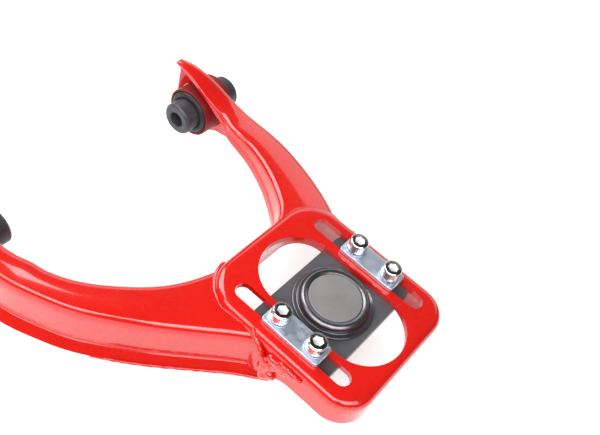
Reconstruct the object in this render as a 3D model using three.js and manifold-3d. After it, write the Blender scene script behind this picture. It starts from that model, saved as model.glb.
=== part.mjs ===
// A front upper control arm with an adjustable ball joint, in millimetres.
// The origin is on the pivot axis, midway between the two bushes. +X points outboard to the
// ball joint, +Y runs along the pivot axis to the short leg's bush, and +Z points up, away
// from the stud. Two curved channel legs are welded to a pressed head. The head's two slots
// let a carrier plate with the ball joint slide inboard and outboard under four cap screws.
import * as THREE from "three";
import { mergeVertices } from "three/addons/utils/BufferGeometryUtils.js";
import Module from "manifold-3d";

const wasm = await Module();
wasm.setup();

// ---------------------------------------------------------------- driving dimensions

const GAP = 0.3; // between pieces that are welded, pressed or seated together
const FACE_GAP = 0.1; // between flat faces that are clamped together

const HEAD = {
  inboard: 123.5, // X of the two ends
  outboard: 251.5,
  near: -27, // Y of the two sides
  far: 87,
  top: 23.4,
  sheet: 4.5,
  edgeRadius: 6,
  inboardCorner: 27,
  outboardCorner: 21,
  skirtBottom: 0, // outboard, where the skirt is shallow
  skirtRootBottom: -17, // inboard, where the skirt is as deep as the legs
};
const HEAD_MIDDLE_Y = (HEAD.near + HEAD.far) / 2;

const SLOT = { x: 188.7, offset: 40.3, length: 92.4, width: 11.6 };
const WINDOW = { x: 190.1, y: 29, radius: 29.4, straight: 50.9 };

const LEG = { sheet: 3.5, top: 19, bottom: -20, earRadius: 24, end: -22.5, hollowFrom: -15 };

const BUSH = {
  span: 214, // between the two bush centres
  sleeveRadius: 19.5,
  sleeveWall: 1.5,
  sleeveLength: 30,
  rubberLength: 34,
  innerRadius: 12.6,
  boreRadius: 6.1,
  innerLength: 57,
};

const BOTTOM_PLATE_THICKNESS = 3;

// The weld round each bush's outer sleeve: how far it stands off the sleeve and the wall.
const BUSH_WELD = 2.4;
const BUSH_WELD_FROM = -7; // X of its end, past the ear where the walls meet

// Where each leg's outer wall meets the head's side: [x, y], with the bead's radius and ends.
const BEAD = {
  long: { x: 178.1, y: -29.4, radius: 2, low: -12, high: 16.5 },
  short: { x: 166, y: 88.9, radius: 1.5, low: -14, high: 16.5 },
};

const JOINT = { x: 191.5, y: HEAD_MIDDLE_Y, ballZ: 8, ballRadius: 14 };
const CARRIER = { length: 62, width: 101, thickness: 7, corner: 8, boreRadius: 24.4 };
const STRIP = { length: 45, width: 16.9, thickness: 3.4, corner: 2.5 };
const SCREW = {
  pitch: 28.5, radius: 4, headRadius: 6.5, headHeight: 8, length: 20, socket: 6, socketDepth: 4,
};
const WASHER = { radius: 7.4, thickness: 1.4 };
const HOUSING = {
  radius: 24.1, flange: 27.5, rim: 22.5, lip: 20.2, inside: 20.6,
  top: 24.1, bottom: -4.5, floor: 2.5, opening: 12.6,
  taperTop: 5, taperIn: 5.1,
};
const COVER = { radius: 18.1, top: 25.8, bottom: 22.6 };
const SEAT_OPENING = 11.6;
const STUD = {
  waist: 6.5, taperBig: 8, taperSmall: 7.2, thread: 6, taperHigh: -14, taperLow: -24,
  nutTop: -26.5, end: -45, pinHole: 1.6,
};
const NUT = { acrossFlats: 19, height: 14, slotWidth: 3.5, slotDepth: 5.5, boreRadius: 6.3 };
const NUT_MIDDLE_SLOT = STUD.nutTop - NUT.height + NUT.slotDepth / 2;
const BOOT = { lip: 24.4, groove: 26.8, bulge: 28.5, wall: 2, neck: 8.4, top: 11.2, split: -3, bottom: -15 };

const CARRIER_TOP = HEAD.top - HEAD.sheet - GAP;
const CARRIER_BOTTOM = CARRIER_TOP - CARRIER.thickness;
const STRIP_BOTTOM = HEAD.top + 0.2;
const WASHER_BOTTOM = STRIP_BOTTOM + STRIP.thickness + FACE_GAP;
const SCREW_SEAT = WASHER_BOTTOM + WASHER.thickness + FACE_GAP;

// ---------------------------------------------------------------- materials

const paint = { color: 0xe01b10, roughness: 0.25, metalness: 0 };
const blackSteel = { color: 0x35353a, roughness: 0.45, metalness: 0.6 };
const rubber = { color: 0x17181a, roughness: 0.75, metalness: 0 };
const zinc = { color: 0xb9c3cf, roughness: 0.3, metalness: 0.9 };
const greySteel = { color: 0x8d8d92, roughness: 0.4, metalness: 0.8 };
const coverSteel = { color: 0x96938f, roughness: 0.5, metalness: 0.5 };
const nylon = { color: 0xe8e4d8, roughness: 0.5, metalness: 0 };
const brass = { color: 0xc7a86a, roughness: 0.35, metalness: 0.9 };

// ---------------------------------------------------------------- shape helpers

const arm = new THREE.Group();

// A closed geometry as a solid that can be joined and cut.
function solid(geometry) {
  const bare = geometry.index ? geometry.toNonIndexed() : geometry.clone();
  bare.deleteAttribute("normal");
  bare.deleteAttribute("uv");
  const merged = mergeVertices(bare, 1e-3);
  const vertProperties = merged.attributes.position.array;
  const triVerts = new Uint32Array(merged.index.array);
  return new wasm.Manifold(new wasm.Mesh({ numProp: 3, vertProperties, triVerts }));
}

// Slivers shorter than this are left by cuts, and are taken out.
const SLIVER = 0.004;

function geometryOf(body) {
  const mesh = body.simplify(SLIVER).getMesh();
  const geometry = new THREE.BufferGeometry();
  geometry.setAttribute("position", new THREE.BufferAttribute(mesh.vertProperties, 3));
  geometry.setIndex(new THREE.BufferAttribute(mesh.triVerts, 1));
  geometry.computeVertexNormals();
  return geometry;
}

function add(name, body, material) {
  const mesh = new THREE.Mesh(geometryOf(body), new THREE.MeshStandardMaterial(material));
  mesh.name = name;
  arm.add(mesh);
}

function prism(shape, low, high, curveSegments = 8) {
  const options = { depth: high - low, bevelEnabled: false, curveSegments };
  return solid(new THREE.ExtrudeGeometry(shape, options).translate(0, 0, low));
}

// A prism whose outline is drawn in X and Z, running along Y.
function sidePrism(shape, low, high, curveSegments = 8) {
  const options = { depth: high - low, bevelEnabled: false, curveSegments };
  const geometry = new THREE.ExtrudeGeometry(shape, options);
  return solid(geometry.rotateX(Math.PI / 2).translate(0, high, 0));
}

// A turned solid about the Z axis through (x, y), from [radius, height] pairs that go
// round the section anticlockwise.
function turned(profile, x, y, segments = 28) {
  const points = profile.map(([radius, height]) => new THREE.Vector2(radius, height));
  const geometry = new THREE.LatheGeometry(points, segments).rotateX(Math.PI / 2);
  return solid(geometry.translate(x, y, 0));
}

// A turned solid about the pivot axis, from [radius, distance along Y] pairs.
function turnedOnPivot(profile, y, segments = 28) {
  const points = profile.map(([radius, along]) => new THREE.Vector2(radius, along));
  return solid(new THREE.LatheGeometry(points, segments).translate(0, y, 0));
}

function ringProfile(inner, outer, low, high) {
  return [[inner, low], [outer, low], [outer, high], [inner, high], [inner, low]];
}

// A circle of small radius swept round the axis, as a closed section.
function wireProfile(radius, height, wire, sides = 6) {
  return Array.from({ length: sides + 1 }, (_, i) => {
    const turn = (2 * Math.PI * i) / sides;
    return [radius + wire * Math.cos(turn), height + wire * Math.sin(turn)];
  });
}

// Points on an arc about (x, y), both ends included.
function arcPoints(x, y, radius, from, to, steps) {
  return Array.from({ length: steps + 1 }, (_, i) => {
    const turn = from + ((to - from) * i) / steps;
    return [x + radius * Math.cos(turn), y + radius * Math.sin(turn)];
  });
}

function shapeOf(pairs) {
  return new THREE.Shape(pairs.map(([a, b]) => new THREE.Vector2(a, b)));
}

function roundedRectangle(left, right, low, high, leftRadius, rightRadius) {
  const quarter = Math.PI / 2;
  const shape = new THREE.Shape();
  shape.absarc(right - rightRadius, low + rightRadius, rightRadius, -quarter, 0);
  shape.absarc(right - rightRadius, high - rightRadius, rightRadius, 0, quarter);
  shape.absarc(left + leftRadius, high - leftRadius, leftRadius, quarter, 2 * quarter);
  shape.absarc(left + leftRadius, low + leftRadius, leftRadius, 2 * quarter, 3 * quarter);
  return shape;
}

// A slot with round ends, lying along X.
function stadium(x, y, radius, straight) {
  const quarter = Math.PI / 2;
  const shape = new THREE.Shape();
  shape.absarc(x + straight / 2, y, radius, -quarter, quarter);
  shape.absarc(x - straight / 2, y, radius, quarter, 3 * quarter);
  return shape;
}

function circle(x, y, radius) {
  return new THREE.Shape().absarc(x, y, radius, 0, 2 * Math.PI);
}

// A smooth line through a few [a, b] points, as evenly spaced [a, b] pairs.
function smoothLine(pairs, steps) {
  const curve = new THREE.SplineCurve(pairs.map(([a, b]) => new THREE.Vector2(a, b)));
  return curve.getSpacedPoints(steps).map((point) => [point.x, point.y]);
}

// The line moved sideways to its left by a distance.
function shifted(line, distance) {
  return line.map(([a, b], i) => {
    const [beforeA, beforeB] = line[Math.max(i - 1, 0)];
    const [afterA, afterB] = line[Math.min(i + 1, line.length - 1)];
    const length = Math.hypot(afterA - beforeA, afterB - beforeB);
    const alongA = (afterA - beforeA) / length;
    const alongB = (afterB - beforeB) / length;
    return [a - alongB * distance, b + alongA * distance];
  });
}

// ---------------------------------------------------------------- the pressed head

function headOutline(grow) {
  return roundedRectangle(
    HEAD.inboard - grow, HEAD.outboard + grow, HEAD.near - grow, HEAD.far + grow,
    HEAD.inboardCorner + grow, HEAD.outboardCorner + grow,
  );
}

const BELOW_ALL = -60; // lower than any piece, for cutting tools
const ABOVE_ALL = 60;

// The head's outside before its skirt is trimmed, with a rounded top edge.
function headBlock() {
  const bevel = HEAD.edgeRadius;
  const options = {
    depth: HEAD.top - BELOW_ALL - 2 * bevel,
    bevelThickness: bevel,
    bevelSize: bevel,
    bevelOffset: -bevel,
    bevelSegments: 2,
    curveSegments: 6,
  };
  return solid(new THREE.ExtrudeGeometry(headOutline(0), options).translate(0, 0, BELOW_ALL + bevel));
}

// What lies under the skirt's lower edge: deep at the legs, then rising to the shallow part.
function underSkirt() {
  const rise = smoothLine(
    [[160, HEAD.skirtRootBottom], [176, HEAD.skirtRootBottom + 1], [190, -8], [199, -2],
      [208, HEAD.skirtBottom]],
    12,
  );
  return shapeOf([
    [HEAD.inboard - 20, BELOW_ALL - 5], [HEAD.outboard + 20, BELOW_ALL - 5],
    [HEAD.outboard + 20, HEAD.skirtBottom], ...rise.reverse(),
    [HEAD.inboard - 20, HEAD.skirtRootBottom],
  ]);
}

function slotAt(side) {
  const radius = SLOT.width / 2;
  const shape = stadium(SLOT.x, HEAD_MIDDLE_Y + side * SLOT.offset, radius, SLOT.length - SLOT.width);
  return prism(shape, 0, ABOVE_ALL, 6);
}

function addHead() {
  const hollow = prism(headOutline(-HEAD.sheet), BELOW_ALL - 5, HEAD.top - HEAD.sheet);
  const window = prism(stadium(WINDOW.x, WINDOW.y, WINDOW.radius, WINDOW.straight), 0, ABOVE_ALL, 16);
  const trim = sidePrism(underSkirt(), HEAD.near - 20, HEAD.far + 20);
  const head = headBlock().subtract(hollow).subtract(trim).subtract(window);
  add("head_pan", head.subtract(slotAt(-1)).subtract(slotAt(1)), paint);
}

// ---------------------------------------------------------------- the legs

const LEG_STEPS = 20;
const LEG_ROOF = [
  [LEG.end, 33.5], [-12, 33], [0, 29.5], [12, 24.5], [25, 20.5], [42, LEG.top], [60, LEG.top],
];

// Beside the bush the inner wall narrows to the edge of the roof: [x, z] along that edge.
const FLAP_EDGE = [[LEG.end, 32], [-12, 29.2], [0, 24.8], [12, 19.4], [24, 14]];

// Each leg's two walls in plan, from the bush end to the head. side is +1 for the short leg.
const SHORT_LEG = {
  side: 1,
  outer: [[-22.5, 103.5], [-8, 109], [20, 115.5], [50, 119], [80, 118], [113, 110.5], [141, 99.5],
    [175, 80]],
  inner: [[-22.5, 95.5], [-8, 95.5], [8, 95.5], [24, 95.5], [33, 93.5], [44, 89.8], [66, 87],
    [89, 79], [107, 69], [118.7, 58.5], [132, 36]],
  innerBottom: [...FLAP_EDGE, [34, 11], [43, 9], [60, 5.5], [75, 3.5], [92, 1], [110, -2], [135, -4]],
};
const LONG_LEG = {
  side: -1,
  outer: [[-22.5, -103.5], [-8, -109], [18, -115.5], [45, -114.5], [71, -106], [94, -95],
    [123, -74.5], [150, -51.5], [166, -37.2], [180, -24.5], [192, -13.5]],
  inner: [[-22.5, -95.5], [-8, -95.5], [8, -95.5], [24, -95.5], [34, -92.5], [45, -88.5],
    [57, -85.5], [74, -76.5], [92, -61], [107.5, -43], [118, -23], [127, 6]],
  innerBottom: [...FLAP_EDGE, [34, 3], [44, -9], [54, -18], [70, -25], [135, -25]],
  plate: { from: 100, lip: 2.8, hole: [139, -40, 52], scoop: [94, -74, 11] },
};

function legLines(leg) {
  return { outer: smoothLine(leg.outer, LEG_STEPS), inner: smoothLine(leg.inner, LEG_STEPS) };
}

function legPlan(leg) {
  const { outer, inner } = legLines(leg);
  return shapeOf([...outer, ...inner.reverse()]);
}

// The plan of the leg's hollow, between its walls. The walls meet at the ear, before the end.
function hollowPlan(leg) {
  const { outer, inner } = legLines(leg);
  const pastEar = ([x]) => x > LEG.hollowFrom;
  return shapeOf([
    ...shifted(outer, -leg.side * LEG.sheet).filter(pastEar),
    ...shifted(inner, leg.side * LEG.sheet).filter(pastEar).reverse(),
  ]);
}

// The leg's side view: its roof rises over the bush to a pointed ear, and its lower edge
// wraps round the bush. drop brings the roof down, for the hollow inside.
function legSide(drop) {
  const roof = smoothLine(LEG_ROOF, 12).map(([x, z]) => [x, z - drop]);
  const wrapStart = Math.PI + Math.acos(-LEG.end / LEG.earRadius);
  const wrapEnd = 2 * Math.PI - Math.asin(-LEG.bottom / LEG.earRadius);
  const wrap = arcPoints(0, 0, LEG.earRadius, wrapStart, wrapEnd, 12);
  return shapeOf([
    ...wrap, [HEAD.outboard, LEG.bottom], [HEAD.outboard, LEG.top - drop], ...roof.reverse(),
  ]);
}

// Everything under the inner wall's lower edge, on the inner half of the leg.
function underInnerWall(leg) {
  const { outer, inner } = legLines(leg);
  const middle = outer.map(([x, y], i) => [(x + inner[i][0]) / 2, (y + inner[i][1]) / 2]);
  const halfPlan = shapeOf([...middle, ...shifted(inner, -leg.side * 8).reverse()]);
  const edge = smoothLine(leg.innerBottom, 14);
  const [endX, endZ] = edge.at(-1);
  const below = shapeOf([
    [2 * LEG.end, BELOW_ALL], [endX + 40, BELOW_ALL], [endX + 40, endZ], ...edge.reverse(),
    [2 * LEG.end, edge.at(-1)[1]],
  ]);
  return prism(halfPlan, BELOW_ALL, ABOVE_ALL).intersect(sidePrism(below, -BUSH.span, BUSH.span));
}

function bushBore(leg) {
  const y = (leg.side * BUSH.span) / 2;
  const radius = BUSH.sleeveRadius + GAP;
  return turnedOnPivot([[0, -BUSH.innerLength], [radius, -BUSH.innerLength], [radius, BUSH.innerLength],
    [0, BUSH.innerLength]], y);
}

// The room that the head takes up. The legs stop at its sides, but the long leg's outer wall
// passes under its skirt.
function headRoom() {
  const outline = prism(headOutline(GAP), BELOW_ALL - 5, ABOVE_ALL);
  const passage = sidePrism(underSkirt(), HEAD.near - 20, HEAD_MIDDLE_Y).translate([0, 0, -GAP]);
  return outline.subtract(passage);
}

function addLegShell(name, leg) {
  const reach = BUSH.span;
  const walls = prism(legPlan(leg), BELOW_ALL, ABOVE_ALL);
  const outside = walls.intersect(sidePrism(legSide(0), -reach, reach));
  const openBelow = [
    [2 * LEG.end, BELOW_ALL], [HEAD.outboard, BELOW_ALL], [HEAD.outboard, 0], [2 * LEG.end, 0],
  ];
  const underRoof = sidePrism(legSide(LEG.sheet), -reach, reach)
    .add(sidePrism(shapeOf(openBelow), -reach, reach));
  const hollow = prism(hollowPlan(leg), BELOW_ALL, ABOVE_ALL).intersect(underRoof);
  const shell = outside.subtract(hollow).subtract(underInnerWall(leg)).subtract(headRoom());
  add(name, shell.subtract(bushBore(leg)), paint);
}

// A flat plate closing the underside of the leg where it meets the head, with an oval hole.
function addBottomPlate(name, leg) {
  const { outer, inner } = legLines(leg);
  const line = ([x]) => x > leg.plate.from;
  const outline = shapeOf([
    ...shifted(outer, leg.side * leg.plate.lip).filter(line),
    ...shifted(inner, -leg.side * leg.plate.lip).filter(line).reverse(),
  ]);
  const top = LEG.bottom - GAP;
  const bottom = top - BOTTOM_PLATE_THICKNESS;
  const plate = prism(outline, bottom, top);
  const [x, y, turn] = leg.plate.hole;
  const hole = prism(stadium(0, 0, 7, 12), bottom - 5, top + 5).rotate([0, 0, turn]);
  const scoop = prism(circle(...leg.plate.scoop), bottom - 5, top + 5);
  add(name, plate.subtract(hole.translate([x, y, 0])).subtract(scoop), paint);
}

// ---------------------------------------------------------------- the bushes

function addBush(name, side) {
  const y = (side * BUSH.span) / 2;
  const sleeveInside = BUSH.sleeveRadius - BUSH.sleeveWall;
  const half = BUSH.sleeveLength / 2;
  const outer = ringProfile(sleeveInside, BUSH.sleeveRadius, -half, half);
  add(name + "_outer_sleeve", turnedOnPivot(outer, y), greySteel);

  const rubberHalf = BUSH.rubberLength / 2;
  const inside = BUSH.innerRadius + GAP;
  const bonded = sleeveInside - GAP;
  const cushion = [
    [inside, -rubberHalf], [bonded - 1, -rubberHalf], [bonded, 1 - rubberHalf],
    [bonded, rubberHalf - 1], [bonded - 1, rubberHalf], [inside, rubberHalf], [inside, -rubberHalf],
  ];
  add(name + "_rubber", turnedOnPivot(cushion, y), rubber);

  const innerHalf = BUSH.innerLength / 2;
  const chamfer = 1;
  const sleeve = [
    [BUSH.boreRadius, -innerHalf], [BUSH.innerRadius - chamfer, -innerHalf],
    [BUSH.innerRadius, chamfer - innerHalf], [BUSH.innerRadius, innerHalf - chamfer],
    [BUSH.innerRadius - chamfer, innerHalf], [BUSH.boreRadius, innerHalf],
    [BUSH.boreRadius, -innerHalf],
  ];
  add(name + "_inner_sleeve", turnedOnPivot(sleeve, y), greySteel);
}

// The weld round the outer sleeve, on the inside of the leg's outer wall. It stops short of the
// ear's end, where the walls meet.
function addBushWeld(name, leg) {
  const { outer } = legLines(leg);
  const wallSide = LEG.sheet + GAP;
  const band = shapeOf([
    ...shifted(outer, -leg.side * wallSide),
    ...shifted(outer, -leg.side * (wallSide + BUSH_WELD)).reverse(),
  ]);
  const foot = BUSH.sleeveRadius + GAP;
  const ring = ringProfile(foot, foot + BUSH_WELD, -BUSH.innerLength, BUSH.innerLength);
  const round = turnedOnPivot(ring, (leg.side * BUSH.span) / 2);
  const ear = solid(new THREE.BoxGeometry(2 * LEG.earRadius, 2 * BUSH.span, 2 * ABOVE_ALL)
    .translate(BUSH_WELD_FROM - LEG.earRadius, 0, 0));
  add(name, round.intersect(prism(band, BELOW_ALL, ABOVE_ALL)).subtract(ear), paint);
}

// ---------------------------------------------------------------- the weld beads

// The bead up the corner between a leg's outer wall and the head's side.
function addBead(name, { x, y, radius, low, high }) {
  const line = new THREE.LineCurve3(new THREE.Vector3(x, y, low), new THREE.Vector3(x, y, high));
  const options = { steps: 1, bevelEnabled: false, extrudePath: line, curveSegments: 6 };
  add(name, solid(new THREE.ExtrudeGeometry(circle(0, 0, radius), options)), paint);
}

// ---------------------------------------------------------------- the sliding ball joint

const SIDES = [["long_side", -1], ["short_side", 1]];
const SCREW_SPOTS = SIDES.flatMap(([, side]) =>
  [-1, 1].map((end) => [JOINT.x + (end * SCREW.pitch) / 2, JOINT.y + side * SLOT.offset]),
);

// A plate centred on the ball joint, along X and Y, with round corners.
function plateOutline(y, length, width, corner) {
  return roundedRectangle(
    JOINT.x - length / 2, JOINT.x + length / 2, y - width / 2, y + width / 2, corner, corner,
  );
}

function addCarrierPlate() {
  const outline = plateOutline(JOINT.y, CARRIER.length, CARRIER.width, CARRIER.corner);
  const plate = prism(outline, CARRIER_BOTTOM, CARRIER_TOP, 5);
  const bore = prism(circle(JOINT.x, JOINT.y, CARRIER.boreRadius), 0, ABOVE_ALL, 20);
  const holes = SCREW_SPOTS.map(([x, y]) => prism(circle(x, y, SCREW.radius + GAP), 0, ABOVE_ALL, 8));
  add("ball_joint_plate", holes.reduce((body, hole) => body.subtract(hole), plate.subtract(bore)),
    blackSteel);
}

function addClampStrips() {
  for (const [sideName, side] of SIDES) {
    const y = JOINT.y + side * SLOT.offset;
    const top = STRIP_BOTTOM + STRIP.thickness;
    const outline = plateOutline(y, STRIP.length, STRIP.width, STRIP.corner);
    const holes = SCREW_SPOTS.filter((spot) => spot[1] === y)
      .map(([x]) => prism(circle(x, y, SCREW.radius + GAP), 0, ABOVE_ALL, 8));
    const strip = prism(outline, STRIP_BOTTOM, top, 3);
    add("clamp_strip_" + sideName, holes.reduce((body, hole) => body.subtract(hole), strip), zinc);
  }
}

function addScrews() {
  SCREW_SPOTS.forEach(([x, y], i) => {
    const washer = ringProfile(
      SCREW.radius + GAP, WASHER.radius, WASHER_BOTTOM, WASHER_BOTTOM + WASHER.thickness,
    );
    add("lock_washer_" + (i + 1), turned(washer, x, y, 20), zinc);
    add("cap_screw_" + (i + 1), capScrew(x, y), zinc);
  });
}

function capScrew(x, y) {
  const top = SCREW_SEAT + SCREW.headHeight;
  const tip = SCREW_SEAT - SCREW.length;
  const edge = 0.7;
  const outside = turned([
    [0, tip], [SCREW.radius - edge, tip], [SCREW.radius, tip + edge], [SCREW.radius, SCREW_SEAT],
    [SCREW.headRadius, SCREW_SEAT], [SCREW.headRadius, top - edge], [SCREW.headRadius - edge, top],
    [0, top],
  ], x, y, 20);
  const hexagon = shapeOf(arcPoints(x, y, SCREW.socket / Math.sqrt(3), 0, (5 * Math.PI) / 3, 5));
  return outside.subtract(prism(hexagon, top - SCREW.socketDepth, top + 1));
}

// The pressed cup: its flange rests on the carrier plate, its rim is rolled over the cover, and
// its open bottom flares so that the tilted stud clears it.
function addHousing() {
  const cup = [
    [HOUSING.opening, HOUSING.bottom], [HOUSING.radius - HOUSING.taperIn, HOUSING.bottom],
    [HOUSING.radius, HOUSING.taperTop], [HOUSING.radius, CARRIER_TOP + GAP],
    [HOUSING.flange, CARRIER_TOP + GAP], [HOUSING.flange, CARRIER_TOP + 1.6],
    [HOUSING.radius, CARRIER_TOP + 1.6], [HOUSING.rim, HOUSING.top - 0.5],
    [HOUSING.rim - 0.4, HOUSING.top], [HOUSING.rim - 1, HOUSING.top],
    [HOUSING.lip, HOUSING.top - 0.7], [HOUSING.lip, HOUSING.top - 1.2],
    [HOUSING.inside, HOUSING.top - 1.2], [HOUSING.inside, HOUSING.taperTop],
    [HOUSING.inside - HOUSING.taperIn, HOUSING.bottom + HOUSING.floor],
    [HOUSING.opening, HOUSING.bottom + HOUSING.floor], [HOUSING.opening, HOUSING.bottom],
  ];
  add("ball_joint_housing", turned(cup, JOINT.x, JOINT.y, 32), greySteel);
}

// The dished cover: its edge is held under the housing's rolled rim.
function addCover() {
  const edgeTop = HOUSING.top - 1.2 - FACE_GAP;
  const edge = HOUSING.inside - GAP;
  const profile = [
    [0, COVER.bottom], [edge, COVER.bottom], [edge, edgeTop], [COVER.radius + 0.6, edgeTop],
    [COVER.radius, edgeTop + 0.6], [COVER.radius, COVER.top - 0.6], [COVER.radius - 0.6, COVER.top],
    [0, COVER.top],
  ];
  add("ball_joint_cover", turned(profile, JOINT.x, JOINT.y), coverSteel);
}

// The two nylon cups that hold the ball. Each is a turned block less the ball.
function addSeats() {
  const ballRoom = new THREE.SphereGeometry(JOINT.ballRadius + GAP, 28, 16);
  const ball = solid(ballRoom.rotateX(Math.PI / 2).translate(JOINT.x, JOINT.y, JOINT.ballZ));
  const radius = HOUSING.inside - GAP;
  const split = JOINT.ballZ;
  const upper = [[0, split + GAP], [radius, split + GAP], [radius, COVER.bottom - GAP],
    [0, COVER.bottom - GAP]];
  add("ball_seat_upper", turned(upper, JOINT.x, JOINT.y).subtract(ball), nylon);
  const low = HOUSING.bottom + HOUSING.floor + GAP;
  const lower = [[SEAT_OPENING, low], [radius - HOUSING.taperIn, low], [radius, HOUSING.taperTop],
    [radius, split], [SEAT_OPENING, split], [SEAT_OPENING, low]];
  add("ball_seat_lower", turned(lower, JOINT.x, JOINT.y).subtract(ball), nylon);
}

// The ball, its waist, the taper that sits in the knuckle, and the threaded end.
function addStud() {
  const { ballZ, ballRadius } = JOINT;
  const under = Math.PI / 2 - Math.asin(STUD.waist / ballRadius);
  const ball = arcPoints(0, ballZ, ballRadius, -under, Math.PI / 2, 10);
  const profile = [
    [0, STUD.end], [STUD.thread - 1, STUD.end], [STUD.thread, STUD.end + 1],
    [STUD.thread, STUD.taperLow], [STUD.taperSmall, STUD.taperLow], [STUD.taperBig, STUD.taperHigh],
    [STUD.waist, STUD.taperHigh + 2], ...ball.slice(0, -1), [0, ballZ + ballRadius],
  ];
  const hole = sidePrism(circle(JOINT.x, NUT_MIDDLE_SLOT, STUD.pinHole), JOINT.y - 20, JOINT.y + 20, 6);
  add("ball_stud", turned(profile, JOINT.x, JOINT.y, 24).subtract(hole), greySteel);
}

// A hexagon nut with a castle of six slots at its lower end.
function addNut() {
  const radius = NUT.acrossFlats / Math.sqrt(3);
  const bottom = STUD.nutTop - NUT.height;
  const hexagon = shapeOf(arcPoints(JOINT.x, JOINT.y, radius, 0, (5 * Math.PI) / 3, 5));
  const bore = prism(circle(JOINT.x, JOINT.y, NUT.boreRadius), bottom - 5, STUD.nutTop + 5, 8);
  let nut = prism(hexagon, bottom, STUD.nutTop).subtract(bore);
  for (let i = 0; i < 3; i += 1) {
    const slot = solid(new THREE.BoxGeometry(NUT.slotWidth, 4 * radius, 2 * NUT.slotDepth)
      .rotateZ((i * Math.PI) / 3)
      .translate(JOINT.x, JOINT.y, bottom));
    nut = nut.subtract(slot);
  }
  add("castle_nut", nut, zinc);
}

// The split pin through the stud's end, lying along Y in two of the nut's slots.
function addCotterPin() {
  const reach = NUT.acrossFlats / 2 + 3;
  const shank = sidePrism(circle(JOINT.x, NUT_MIDDLE_SLOT, 1.2), JOINT.y - reach, JOINT.y + reach, 6);
  const eye = wireProfile(2.2, 0, 1.1);
  const ring = new THREE.LatheGeometry(eye.map(([r, h]) => new THREE.Vector2(r, h)), 16)
    .rotateZ(Math.PI / 2)
    .translate(JOINT.x, JOINT.y - reach - 1.6, NUT_MIDDLE_SLOT);
  add("cotter_pin", shank.add(solid(ring)), zinc);
}

// The rubber boot, moulded as one piece and kept as two: the base stays with the housing and
// the mouth with the stud.
function addBoot() {
  const base = [
    [BOOT.lip, BOOT.top], [BOOT.lip, BOOT.top - 5], [BOOT.bulge - BOOT.wall, BOOT.top - 9],
    [BOOT.bulge - BOOT.wall - 0.5, BOOT.split], [BOOT.bulge - 0.5, BOOT.split],
    [BOOT.bulge, BOOT.top - 9], [BOOT.bulge - 0.6, BOOT.top - 6], [BOOT.groove, BOOT.top - 4.2],
    [BOOT.groove, BOOT.top - 2.2], [BOOT.groove + 1, BOOT.top - 1.4], [BOOT.groove + 1, BOOT.top],
    [BOOT.lip, BOOT.top],
  ];
  add("boot_base", turned(base, JOINT.x, JOINT.y), rubber);
  const mouth = [
    [BOOT.neck, BOOT.bottom], [BOOT.neck + 3.5, BOOT.bottom], [BOOT.neck + 3.5, BOOT.bottom + 1],
    [BOOT.neck + 2.6, BOOT.bottom + 1.6], [BOOT.neck + 2.6, BOOT.bottom + 3.6],
    [BOOT.neck + 6, BOOT.bottom + 4.6], [BOOT.bulge - 5, BOOT.split - 6],
    [BOOT.bulge - 0.5, BOOT.split - GAP], [BOOT.bulge - BOOT.wall - 0.5, BOOT.split - GAP],
    [BOOT.bulge - BOOT.wall - 5, BOOT.split - 5], [BOOT.neck + 4, BOOT.bottom + 6.6],
    [BOOT.neck, BOOT.bottom + 4], [BOOT.neck, BOOT.bottom],
  ];
  add("boot_mouth", turned(mouth, JOINT.x, JOINT.y), rubber);
  const baseWire = wireProfile(BOOT.groove + 1.2, BOOT.top - 3.2, 0.9);
  add("boot_base_ring", turned(baseWire, JOINT.x, JOINT.y), brass);
  const mouthWire = wireProfile(BOOT.neck + 3.6, BOOT.bottom + 2.6, 0.7);
  add("boot_mouth_ring", turned(mouthWire, JOINT.x, JOINT.y, 20), brass);
}

// ---------------------------------------------------------------- the assembly

addHead();
addLegShell("short_leg_shell", SHORT_LEG);
addLegShell("long_leg_shell", LONG_LEG);
addBottomPlate("long_leg_bottom_plate", LONG_LEG);
addBead("long_leg_weld_bead", BEAD.long);
addBead("short_leg_weld_bead", BEAD.short);
addBush("short_leg_bush", 1);
addBush("long_leg_bush", -1);
addBushWeld("short_leg_bush_weld", SHORT_LEG);
addBushWeld("long_leg_bush_weld", LONG_LEG);
addCarrierPlate();
addClampStrips();
addScrews();
addHousing();
addCover();
addSeats();
addStud();
addNut();
addCotterPin();
addBoot();

export default arm;
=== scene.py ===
"""The looks of an adjustable upper control arm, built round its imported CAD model.

All lengths are in metres in the arm's own frame: the origin is on the pivot axis midway
between the bushes, +X points outboard to the ball joint, +Y along the pivot axis to the
short leg's bush, and +Z up, away from the stud.
"""

import math
import random

import bmesh
import bpy
import numpy as np
from mathutils import Matrix, Vector


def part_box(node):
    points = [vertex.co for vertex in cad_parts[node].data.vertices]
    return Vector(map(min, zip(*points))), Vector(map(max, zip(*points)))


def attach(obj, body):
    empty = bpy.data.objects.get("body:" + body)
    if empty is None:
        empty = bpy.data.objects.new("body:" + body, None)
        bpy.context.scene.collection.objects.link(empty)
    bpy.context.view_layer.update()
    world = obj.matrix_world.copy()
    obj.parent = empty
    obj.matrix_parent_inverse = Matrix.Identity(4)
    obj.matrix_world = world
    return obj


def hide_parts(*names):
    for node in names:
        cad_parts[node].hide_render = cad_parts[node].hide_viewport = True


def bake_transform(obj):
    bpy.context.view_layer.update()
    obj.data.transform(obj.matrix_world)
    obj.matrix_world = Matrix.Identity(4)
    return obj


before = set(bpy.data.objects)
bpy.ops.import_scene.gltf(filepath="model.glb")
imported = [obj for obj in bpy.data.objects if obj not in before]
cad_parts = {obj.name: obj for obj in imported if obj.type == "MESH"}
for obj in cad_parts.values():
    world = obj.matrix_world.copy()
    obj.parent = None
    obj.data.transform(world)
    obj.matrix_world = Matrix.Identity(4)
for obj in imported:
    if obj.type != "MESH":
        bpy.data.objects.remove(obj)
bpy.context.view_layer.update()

# ---------------- sizes

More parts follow.
